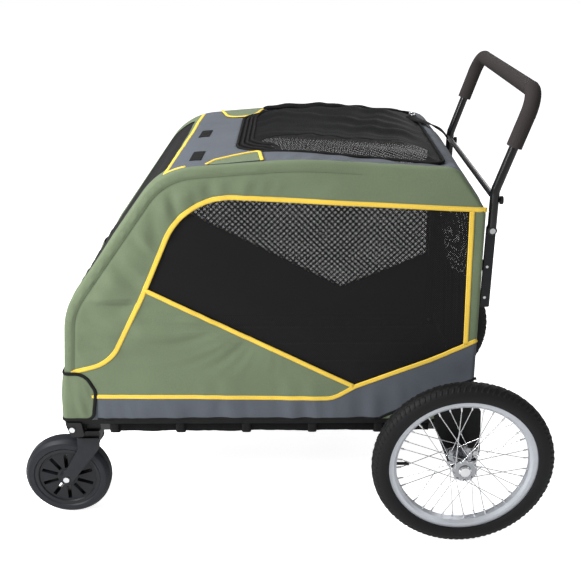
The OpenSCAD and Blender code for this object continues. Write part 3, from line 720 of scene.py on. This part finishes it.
def swept(name, paths, section, finish, whole):
    """A (sideways, out) section swept along (points, outward normals) paths, in mm. It closes
    round itself if whole, and otherwise stays open underneath."""
    verts, faces, k = [], [], len(section)
    for pts, out in paths:
        pts, out = np.asarray(pts, float), np.asarray(out, float)
        ahead, sideways = beside(pts, out)
        if whole:
            out = np.cross(sideways, ahead)
        first = len(verts)
        for p, n, b in zip(pts, out, sideways):
            verts += [tuple((p + b * a + n * h) * MM) for a, h in section]
        for i in range(len(pts) - 1):
            for j in range(k if whole else k - 1):
                a, b = first + i * k + j, first + i * k + (j + 1) % k
                faces.append((a, b, b + k, a + k))
        faces += [tuple(range(first + k - 1, first - 1, -1)),
                  tuple(range(len(verts) - k, len(verts)))]
    return mesh_piece(name, verts, faces, [finish])


def ribbon(name, paths, width, thick, finish):
    """Flat tape with soft edges."""
    across = np.array([-0.5, -0.42, -0.2, 0.2, 0.42, 0.5]) * width
    height = np.array([-0.5, 0.7, 1, 1, 0.7, -0.5]) * thick
    return swept(name, paths, list(zip(across, height)), finish, False)


def piping(name, paths, radius, finish):
    """Round cord."""
    turns = [2 * math.pi * k / 8 for k in range(8)]
    return swept(name, paths, [(radius * math.cos(a), radius * math.sin(a)) for a in turns],
                 finish, True)


def on_wall(path, side, seed, lift=0.2):
    """A tape's path laid on a side wall."""
    path = np.asarray(path, float)
    d = nearest(path, outline)
    y = HALF + wall_relief(path, seed) + lift
    over_fold = np.sqrt(np.maximum(0, FOLD ** 2 - (FOLD - d) ** 2))
    y = np.where(d < FOLD, HALF - FOLD + over_fold + lift, y)
    return (np.stack([path[:, 0], side * y, path[:, 1]], axis=1),
            np.tile([0, side, 0], (len(path), 1)))


sewing, given, out = geometry_tree("sewing", {"Spacing": 0.0045, "Length": 0.003, "Radius": 0.0004,
                                              "Finish": None})
line = node(sewing, "GeometryNodeMeshToCurve", Mesh=given["Geometry"]).outputs[0]
even = node(sewing, "GeometryNodeResampleCurve", mode="LENGTH", Curve=line,
            Length=given["Spacing"]).outputs[0]
dots = node(sewing, "GeometryNodeCurveToPoints", mode="EVALUATED", Curve=even).outputs
bead = node(sewing, "GeometryNodeMeshUVSphere", Segments=6, Rings=4, Radius=1.0).outputs[0]
sized = node(sewing, "ShaderNodeCombineXYZ", X=given["Radius"], Y=given["Radius"],
             Z=calc(sewing, "MULTIPLY", given["Length"], 0.5)).outputs[0]
laid = node(sewing, "GeometryNodeInstanceOnPoints", Points=dots["Points"], Instance=bead,
            Rotation=dots["Rotation"], Scale=sized).outputs[0]
solid = node(sewing, "GeometryNodeRealizeInstances", Geometry=laid).outputs[0]
sewing.links.new(node(sewing, "GeometryNodeSetMaterial", Geometry=solid,
                      Material=given["Finish"]).outputs[0], out["Geometry"])


def beside_path(path, shift, lift):
    """A 3-D path moved sideways along its tape and off it, in mm."""
    pts, out = (np.asarray(v, float) for v in path)
    return pts + beside(pts, out)[1] * shift + out * lift


def stitched(name, lines, finish, spacing=4.5, length=3.0, radius=0.4):
    """Rows of stitches along 3-D lines in mm."""
    verts, edges = [], []
    for pts in lines:
        first = len(verts)
        verts += [tuple(p * MM) for p in pts]
        edges += [(first + i, first + i + 1) for i in range(len(pts) - 1)]
    rows = grown(name, verts, edges, [], sewing, Spacing=spacing * MM, Length=length * MM,
                 Radius=radius * MM, Finish=finish)
    return rows


for side, name, seed in ((-1, "left", 0.0), (1, "right", 11.0)):
    laid_tapes = [on_wall(p, side, seed)
                  for p in (upper_tape, lower_tape, rear_tape, diagonal_tape)]
    tapes = ribbon(f"side_tape_{name}", laid_tapes, 10.5, 1.0, yellow_tape)
    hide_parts(f"side_trim_{name}")
    tape_rows = stitched(f"tape_stitches_{name}", [beside_path(t, k, 1.25) for t in laid_tapes
                                                   for k in (-3.7, 3.7)], stitch_yellow)
    # The sleeve's stitches are drawn dark so that they paint the shadow line beside the sleeve.
    seam = beside_path(on_wall(sleeve_lines[1], side, seed), 0, 0.3)
    seam_rows = stitched(f"sleeve_stitches_{name}", [seam], stitch_painted_shadow_line, 5.0, 3.4, 0.55)
    foot_hem = [(x, FOOT + 1) for x in np.arange(-410, 224, 6.0)]
    hems = ribbon(f"side_hem_{name}", [on_wall(h, side, seed) for h in (rear_hem, foot_hem)],
                  7, 1.2, black_tape)
    sewn_on(*walls[name], [tapes, tape_rows, seam_rows, hems])


# ---- Front, roof and back ----
# The same skin carried over from side to side. Netting fills a big window in the front and one in
# the back, and the roof is grey with a wide, round-fronted hatch in it.
def on_skin(run, y, lift):
    """Points on the wrap: run is the distance along the cabin's outline, all in mm."""
    run, y, lift = np.broadcast_arrays(np.asarray(run, float), y, lift)
    base = np.stack([np.interp(run, run_of, outline[:, k]) for k in (0, 1)], axis=1)
    out = -np.stack([np.interp(run, run_of, inward[:, k]) for k in (0, 1)], axis=1)
    out /= np.linalg.norm(out, axis=1)[:, None]
    p = base + out * lift[:, None]
    return (np.stack([p[:, 0], y, p[:, 1]], axis=1),
            np.stack([out[:, 0], 0 * y, out[:, 1]], axis=1))


def run_at_x(x):
    """How far along the outline its point over x is, in mm."""
    return np.interp(x, outline[:, 0], run_of)


front_part = outline[:, 0] < 0
rear_part = (outline[:, 0] > 415) & (outline[:, 1] < 770)


def run_at_front(z):
    return np.interp(z, outline[front_part, 1], run_of[front_part])


def run_at_rear(z):
    return np.interp(-z, -outline[rear_part, 1], run_of[rear_part])


tape_x, rear_seam_z = -226, 757
flat_half = HALF - FOLD
front_net = spaced(rounded([(run_at_front(565), -230, 35), (run_at_front(565), 230, 35),
                            (run_at_front(832) + 20, 218, 16), (run_at_front(832) + 2, -236, 16)],
                           closed=True), 7, closed=True)
hatch_xy = rounded([(-88, -165, 60), (-30, -206, 60), (130, -236, 150), (338, -270, 30),
                    (338, 262, 30), (130, 232, 150), (-30, 206, 60), (-88, 165, 60)], closed=True)
hatch_loop = spaced([(run_at_x(v.x), v.y) for v in hatch_xy], 7, closed=True)
rear_net = spaced(rounded([(run_at_rear(742), -258, 25), (run_at_rear(742), 258, 25),
                           (run_at_rear(552), 258, 60), (run_at_rear(500), 100, 160),
                           (run_at_rear(500), -100, 160), (run_at_rear(552), -258, 60)],
                          closed=True), 7, closed=True)
tape_run, tape_run_far = float(run_at_x(tape_x)), float(run_at_x(-197))


def tape_line(y):
    """The run of the roof's front seam, which is a little out of square."""
    return np.interp(y, [-flat_half, flat_half], [tape_run, tape_run_far])


seam_run = float(run_at_rear(rear_seam_z))


def wrap_relief(p):
    """How far the wrap stands out, in mm: it is held at its edges and puckers beside them."""
    run, y = p[:, 0], p[:, 1]
    edge = smooth((flat_half - np.abs(y)) / 70)
    swell = noise_at(run / 160, y / 160, 9.4)
    folds = creases(run, y, 32, 78, 4.4) * 3.2 + creases(y, run, 40, 10, 8.8) * 2.4
    on_roof = smooth((run - tape_run) / 60) * smooth((seam_run - run) / 60)
    pucker = 1.8 * np.sin(run / 9.5 + 3 * np.sin(run / 70)) * on_roof \
        * smooth((np.abs(y) - 225) / 25) * smooth((flat_half - np.abs(y)) / 10)
    calm = 0.25 + 0.75 * smooth((run - run_at_x(-30)) / 60) \
        + 0.75 * smooth((tape_run - 20 - run) / 60)
    return (swell * 3.0 + folds * calm + 1.5 * on_roof) * edge + pucker * calm


def skin_piece(name, lines, keep, finishes, choose=None, relief=wrap_relief, lift=0.0, grid=8.0,
               thick=0.9, lining=None):
    """A cloth piece cut flat in (run, y) and laid on the wrap; choose picks its second slot."""
    gr, gy = np.meshgrid(np.arange(2, run_of[-1], grid), np.arange(-flat_half + 4, flat_half, grid))
    g = np.stack([gr.ravel(), gy.ravel()], axis=1)
    v, f, m = cut(lines, g[keep(g)], keep)
    patterns[name] = pattern(v, f)
    pts, _ = on_skin(v[:, 0], v[:, 1], relief(v) + lift)
    o = mesh_piece(name, pts * MM, f, finishes,
                   slots=None if choose is None else choose(m).astype(int))
    if thick:
        thicken(o, thick, lining)
    return o


edge_lines = [(np.stack([run_of, np.full(len(run_of), s * flat_half)], axis=1), False)
              for s in (-1, 1)]
cross = np.arange(-flat_half + 6, flat_half - 2, 8.0)
across_at = [(np.stack([r + 0 * cross, cross], axis=1), False)
             for r in (0.0, tape_line(cross), seam_run, run_of[-1])]
wrap = skin_piece("cabin_wrap", edge_lines + across_at + [(front_net, True), (hatch_loop, True),
                                                          (rear_net, True)],
                  lambda m: (np.abs(m[:, 1]) < flat_half) & ~inside(m, front_net)
                  & ~inside(m, hatch_loop) & ~inside(m, rear_net),
                  [green_cloth, grey_cloth, black_lining, black_lining],
                  lambda m: (m[:, 0] > tape_line(m[:, 1])) & (m[:, 0] < seam_run), lining=2)
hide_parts("front_panel", "roof_panel", "rear_panel")


def net_sag(p):
    """The nets sag inwards between their edges."""
    slack = smooth(np.minimum(nearest(p, front_net), nearest(p, rear_net)) / 110)
    return wrap_relief(p) * (0.4 + 0.6 * slack) - 9 * slack


panes = skin_piece("front_and_rear_net", [(front_net, True), (rear_net, True)],
                   lambda m: inside(m, front_net) | inside(m, rear_net), [front_black_net],
                   relief=net_sag, lift=-1.6, thick=None)
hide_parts("front_mesh")
sewn_on(panes, (0.51, 0.58, patterns["front_and_rear_net"][2]))


# ---- Roof hatch ----
# A black cover, zipped along a curved front and both sides, that rolls up. A strip of netting
# runs along its near side, and its zip and piping stand up in round ridges at the front.
band_xy = ((-40, -122, 10), (60, -118, 60), (318, -156, 10), (300, -252, 12), (110, -226, 60),
           (-10, -192, 12))
net_band = spaced(rounded([(run_at_x(x), y, r) for x, y, r in band_xy], closed=True), 7,
                  closed=True)


def hatch_relief(p):
    """The cover is slack: it stands up in the middle, more on the far side, with soft folds."""
    run, y = p[:, 0], p[:, 1]
    d = nearest(p, hatch_loop)
    rise = 13 * smooth(d / 90) * (1 + 0.5 * smooth((y + 40) / 200))
    folds = creases(run, y, 46, 80, 2.9) * 9 + creases(run, y, 36, -12, 6.1) * 5
    return 1.0 + rise + folds * smooth(d / 60)


cover = skin_piece("hatch_cover", [(hatch_loop, True), (net_band, True)],
                   lambda m: inside(m, hatch_loop) & ~inside(m, net_band),
                   [black_cloth, black_lining], relief=hatch_relief, lift=0.6, lining=1)
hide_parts("roof_hatch")
band = skin_piece("hatch_net_band", [(net_band, True)], lambda m: inside(m, net_band),
                  [black_net], relief=hatch_relief, lift=0.2, thick=None)
sewn_on(band, patterns["hatch_net_band"])


def skin_path(points, lift=0.3, relief=wrap_relief):
    """A path in (run, y) laid on the wrap, for a tape or a cord."""
    p = spaced(points, 6)
    return on_skin(p[:, 0], p[:, 1], relief(p) + lift)


loop_closed = np.vstack([hatch_loop, hatch_loop[:1]])
ridge_sets = []
for step in (11, 21, 31):
    near = [(4, -212 + step, 0), (-30 + step, -206 + step, 30), (-88 + step, -165 + step, 60)]
    ridge = rounded(near + [(x, -y, r) for x, y, r in reversed(near)])
    pts, out = skin_path([(run_at_x(v.x), v.y) for v in ridge], 2.2, hatch_relief)
    from_end = np.minimum(np.arange(len(pts)), np.arange(len(pts))[::-1])
    ridge_sets.append((pts - out * (6 * (1 - smooth(from_end / 6)))[:, None], out))
ridges = piping("hatch_ridges", [skin_path(loop_closed, 1.8, hatch_relief)] + ridge_sets, 3.2,
                black_tape)
sewn_on(cover, patterns["hatch_cover"], [ridges])


# ---- Rolled roof cover ----
# The solid cover that closes over the hatch, rolled up along the far edge and held by a strap
# with a small bright buckle.
def lumpy_roll(name, start, end, y, lift, radius, finish, seed):
    """A slack, uneven roll of cloth laid along the wrap from x = start to x = end."""
    rings, sides = 90, 20
    verts, faces = [], []
    runs = np.linspace(float(run_at_x(start)), float(run_at_x(end)), rings)
    wander = noise_at(runs / 90, np.full(rings, seed), 0)
    swell = noise_at(runs / 45, np.full(rings, seed), 5)
    pts, out = on_skin(runs, y + 9 * wander, lift + 3 * swell)
    for i, (p, n) in enumerate(zip(pts, out)):
        ends = min(1, math.sqrt(max(0, min(i, rings - 1 - i)) / 3) + 0.02)
        b = np.array([0.0, 1.0, 0.0])
        for k in range(sides):
            a = 2 * math.pi * k / sides
            bump = 1 + 0.16 * noise.noise(Vector((runs[i] / 30, 2 * math.cos(a) + seed,
                                                  2 * math.sin(a))))
            full = 0.35 + 0.75 * math.sin(math.pi * min(1, i / rings * 1.1)) ** 0.7
            r = radius * full * (1 + 0.22 * swell[i]) * ends * bump
            verts.append(tuple((p + b * math.cos(a) * r * 1.25 + n * math.sin(a) * r * 0.85) * MM))
    for i in range(rings - 1):
        for k in range(sides):
            a, b = i * sides + k, i * sides + (k + 1) % sides
            faces.append((a, a + sides, b + sides, b))
    faces += [tuple(range(sides)), tuple(range(len(verts) - 1, len(verts) - sides - 1, -1))]
    return mesh_piece(name, verts, faces, [finish])


roll_piece = lumpy_roll("rolled_cover", -45, 338, 236, 6, 11.5, black_cloth, 3.3)
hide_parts("hatch_roll")
pts, out = skin_path([(run_at_x(322), 178), (run_at_x(352), 110), (run_at_x(374), 44)], 4.0,
                     hatch_relief)
strap = ribbon("roof_strap", [(pts + out * np.linspace(0, 4, len(pts))[:, None], out)], 26, 3.0,
               black_tape)
around = np.linspace(0, 2 * math.pi, 33)
ring_at = on_skin([float(run_at_x(324))] * 2, 172, 15)[0][0]
ring_pts = np.stack([ring_at[0] + 6 * np.cos(around), ring_at[1] + 14 * np.sin(around),
                     ring_at[2] + 0 * around], axis=1)
ring = piping("roof_buckle", [(ring_pts, np.tile([0.0, 0, 1], (33, 1)))], 1.6, chrome)
sewn_on(roll_piece, others=[strap, ring])


# ---- Roof trim ----
# Yellow tape across the front seam of the roof, two short black hook-and-loop strips, and a
# green tab bound in yellow on each side.
roof_tape = ribbon("roof_tape", [
    skin_path([(tape_run, -262), (tape_run_far, 262)]),
    skin_path([(tape_run - 4, -268), (run_at_x(-184), -270)])], 9, 1.1, yellow_tape)
sewn_on(wrap, patterns["cabin_wrap"], [roof_tape])
for k, (cx, cy) in enumerate(((-170, 19), (-167, -197))):
    corners = [(float(run_at_x(cx + a)), cy + b)
               for a, b in ((-14, -34), (11, -38), (14, 34), (-11, 38))]
    strip = skin_piece(f"hook_square_{k + 1}", [(spaced(corners, 4, closed=True), True)],
                       lambda m, c=corners: inside(m, np.array(c)), [black_tape], lift=0.8,
                       grid=4.0, thick=1.2)
    sewn_on(strip, patterns[strip.name], rests_on=["roof_panel"], held="laid")
for side, name in ((-1, "left"), (1, "right")):
    marks = ((-150, 272, 0), (-128, 176, 40), (-62, 166, 40), (-38, 272, 0))
    if side < 0:
        marks = ((-142, 274, 0), (-128, 248, 15), (-90, 226, 60), (-38, 206, 8), (-30, 274, 0))
    shape = rounded([(float(run_at_x(x)), side * y, r) for x, y, r in marks])
    loop = np.array([tuple(v) for v in shape])
    tab = skin_piece(f"roof_tab_{name}", [(spaced(shape, 5), False)],
                     lambda m, c=loop: inside(m, c), [green_cloth], lift=2.0, thick=1.2)
    bound = ribbon(f"roof_tab_binding_{name}", [skin_path(shape, 2.6)], 7, 1.2, yellow_tape)
    sewn_on(tab, patterns[tab.name], [bound], rests_on=["roof_panel"], held="laid")


# ---- Corner patches ----
# A second layer of green cloth over each front lower corner, bound in black, that folds round
# from the side to the front and takes the wear.
patch_shape = rounded([(-60, 389, 10), (44, 389, 40), (70, 345, 30), (66, FOOT + 1, 16),
                       (-60, FOOT + 1, 10)], closed=True)
patch_loop = spaced(patch_shape, 4, closed=True)


def on_corner(p, side, lift):
    """A point p = (distance round the corner from its fold, height) on the front corner."""
    a, z = p[:, 0], p[:, 1]
    x0 = np.interp(z, outline[front_part, 1], outline[front_part, 0])
    ang = np.clip(a / FOLD, -math.pi / 4, math.pi / 4) + math.pi / 4
    flat_side = np.maximum(0, a - FOLD * math.pi / 4)
    flat_front = np.maximum(0, -a - FOLD * math.pi / 4)
    r = FOLD + lift
    x = x0 + FOLD - r * np.cos(ang) + flat_side
    y = side * (HALF - FOLD + r * np.sin(ang) - flat_front)
    out = np.stack([-np.cos(ang), side * np.sin(ang), 0 * a], axis=1)
    return np.stack([x, y, z], axis=1), out


for side, name, seed in ((-1, "left", 2.0), (1, "right", 6.0)):
    g = np.meshgrid(np.arange(-58, 70, 3.5), np.arange(275, 388, 6.0))
    g = np.stack([v.ravel() for v in g], axis=1)
    v, f, m = cut([(patch_loop, True)], g[inside(g, patch_loop)], lambda q: inside(q, patch_loop))
    from_edge = nearest(v, patch_loop)
    bulge = 2.8 + 2.2 * smooth(from_edge / 25) \
        + 2.0 * creases(v[:, 0], v[:, 1], 14, 12, seed) * smooth(from_edge / 15)
    pts, _ = on_corner(v, side, bulge)
    patch_piece = mesh_piece(f"corner_patch_{name}", pts * MM,
                             f if side < 0 else [t[::-1] for t in f], [green_cloth])
    thicken(patch_piece, 1.0)
    ring = np.vstack([patch_loop, patch_loop[:2]])
    pts, out = on_corner(ring, side, 3.0)
    bound = ribbon(f"corner_binding_{name}", [(pts, out)], 8, 1.5, black_tape)
    if side < 0:
        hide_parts("corner_patches")
    sewn_on(patch_piece, pattern(v, f), [bound], held="laid", rests_on=["front_panel"])


# ---- Skirt ----
# A strip of black cloth that hangs from the cabin's hem over the base rails, gathered a little by
# the webbing loops that hold the cabin down.
def skirt_strip(start, end, drop, seed):
    """One strip, as vertices and faces: it hangs by drop on the line from start to end, in mm."""
    n, rows_down = 150, 10
    a, b = np.array(start, float), np.array(end, float)
    out = np.array([(b - a)[1], -(b - a)[0]]) / np.linalg.norm(b - a)
    verts, faces = [], []
    for i in range(n + 1):
        base = a + (b - a) * i / n
        for j in range(rows_down + 1):
            t = j / rows_down
            s = np.linalg.norm(base - a)
            wave = 2.2 * noise.noise(Vector((s / 40, t * 0.8, seed))) \
                + 1.2 * noise.noise(Vector((s / 12, t, seed)))
            p = base + out * (wave * t - 0.8)
            hem = drop + 3 * noise.noise(Vector((s / 60, 2.2, seed)))
            verts.append((p[0] * MM, p[1] * MM, (FOOT + 1 - hem * t) * MM))
    for i in range(n):
        for j in range(rows_down):
            c = i * (rows_down + 1) + j
            faces.append((c, c + 1, c + rows_down + 2, c + rows_down + 1))
    return verts, faces


verts, faces = [], []
skirt_lines = (((-384, -275.5), (336, -275.5), 37), ((336, 275.5), (-384, 275.5), 37),
               ((-485, 226), (-485, -226), 36), ((447.5, -228), (447.5, 228), 36))
for k, strip in enumerate(skirt_lines):
    v, f = skirt_strip(*strip, 1.3 * k)
    faces += [tuple(i + len(verts) for i in q) for q in f]
    verts += v
skirt = mesh_piece("skirt", verts, faces, [black_cloth])
thicken(skirt, 0.9)
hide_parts("base_skirt")
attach(skirt, "chassis")


# ---- Webbing loops ----
# Short straps of black webbing, sewn to the cabin's hem, that pass outside the skirt and under
# the rail and hold the cabin down on the frame.
straps = []
turns = spaced(rounded([(279, 276, 0), (279.5, 236, 5), (262, 225, 4), (246, 226, 0)], steps=6),
               2.5)
for side in (-1, 1):
    for x in np.linspace(-376, 222, 5):
        pts = np.stack([x + 0 * turns[:, 0], side * turns[:, 0], turns[:, 1]], axis=1)
        ahead = np.gradient(turns, axis=0)
        ahead /= np.linalg.norm(ahead, axis=1)[:, None]
        straps.append((pts, np.stack([0 * pts[:, 0], -side * ahead[:, 1], ahead[:, 0]], axis=1)))
webbing = ribbon("webbing_straps", straps, 20, 1.8, black_tape)
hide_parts("webbing_loops")
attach(webbing, "chassis")


# ---- Cabin floor ----
# The cabin's own floor cloth lies on a stiff board between the rails, and a quilted cushion in a
# dark cover lies loose on top of it.
floor_verts, floor_faces = [], []
LONG, WIDE = 95, 59     # points each way; the outermost row is the cloth's turned-up edge
for i in range(LONG):
    for j in range(WIDE):
        x = -484.5 + 10 * (min(max(i, 1), LONG - 2) - 1) * 0.992
        y = -283 + 10.107 * (min(max(j, 1), WIDE - 2) - 1)
        lies = 0 < i < LONG - 1 and 0 < j < WIDE - 1
        z = 259.4 + 0.6 * noise.noise(Vector((i / 5, j / 5, 1))) if lies else 275.5
        floor_verts.append((x * MM, y * MM, z * MM))
for i in range(LONG - 1):
    for j in range(WIDE - 1):
        a = i * WIDE + j
        floor_faces.append((a, a + WIDE, a + WIDE + 1, a + 1))
floor_cloth = mesh_piece("floor_cloth", floor_verts, floor_faces, [black_lining])
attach(floor_cloth, "chassis")
finish_nodes(nylon_black, "floor_board")


# ---- Floor cushion ----
# A quilted pad in a dark cover: its channels are sewn through every hundred millimetres or so, and
# the filling swells between them. It lies flat on the floor cloth.
def swollen(o, held_down, pressure, cap, frames=20):
    """Blows up a closed mesh as cloth, holds some points still, and limits how far the rest go."""
    group = o.vertex_groups.new(name="sewn")
    group.add([int(i) for i in np.nonzero(held_down)[0]], 1.0, "ADD")
    before = np.array([v.co for v in o.data.vertices])
    pad = o.modifiers.new("pad", "CLOTH")
    pad.settings.use_pressure, pad.settings.uniform_pressure_force = True, pressure
    pad.settings.vertex_group_mass = "sewn"
    pad.settings.effector_weights.gravity = 0
    pad.point_cache.frame_start, pad.point_cache.frame_end = 1, frames
    for f in range(1, frames + 1):
        bpy.context.scene.frame_set(f)
    ready = o.evaluated_get(bpy.context.evaluated_depsgraph_get()).to_mesh()
    after = np.array([v.co for v in ready.vertices])
    o.modifiers.remove(pad)
    bpy.context.scene.frame_set(1)
    move = after - before
    far = np.linalg.norm(move, axis=1)
    move *= (np.minimum(far, cap * MM) / np.maximum(far, 1e-9))[:, None]
    o.data.vertices.foreach_set("co", (before + move).ravel())
    o.vertex_groups.clear()
    o.data.update()


pad_loop = rounded([(-444, -236, 34), (382, -236, 34), (382, 236, 34), (-444, 236, 34)],
                   closed=True)
n = len(pad_loop)
verts = [(v.x * MM, v.y * MM, z * MM) for z in (261.2, 276) for v in pad_loop]
faces = [tuple(range(n - 1, -1, -1)), tuple(range(n, 2 * n))]
faces += [(i, (i + 1) % n, n + (i + 1) % n, n + i) for i in range(n)]
cushion = mesh_piece("floor_cushion", verts, faces, [black_lining])
remesh = cushion.modifiers.new("even", "REMESH")
remesh.mode, remesh.voxel_size = "VOXEL", 0.006
even = bpy.data.meshes.new_from_object(cushion.evaluated_get(bpy.context.evaluated_depsgraph_get()))
cushion.modifiers.remove(remesh)
cushion.data = even
xyz = np.array([v.co for v in even.vertices]) / MM
channel = np.minimum(np.abs((xyz[:, 0] + 31 + 52) % 104 - 52),
                     np.abs((xyz[:, 1] + 50) % 100 - 50))
on_edge = nearest(xyz[:, :2], spaced(pad_loop, 6, closed=True)) < 6
top_side = xyz[:, 2] > 268
xyz[:, 2] -= np.where(top_side, 5 * np.exp(-(channel / 7) ** 2), 0)
even.vertices.foreach_set("co", (xyz * MM).ravel())
swollen(cushion, (xyz[:, 2] < 264) | (top_side & (channel < 4) & ~on_edge), 4, 11)
even.polygons.foreach_set("use_smooth", [True] * len(even.polygons))
round_off = cushion.modifiers.new("round", "SUBSURF")
round_off.levels = round_off.render_levels = 1
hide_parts("floor_mat")
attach(cushion, "chassis")
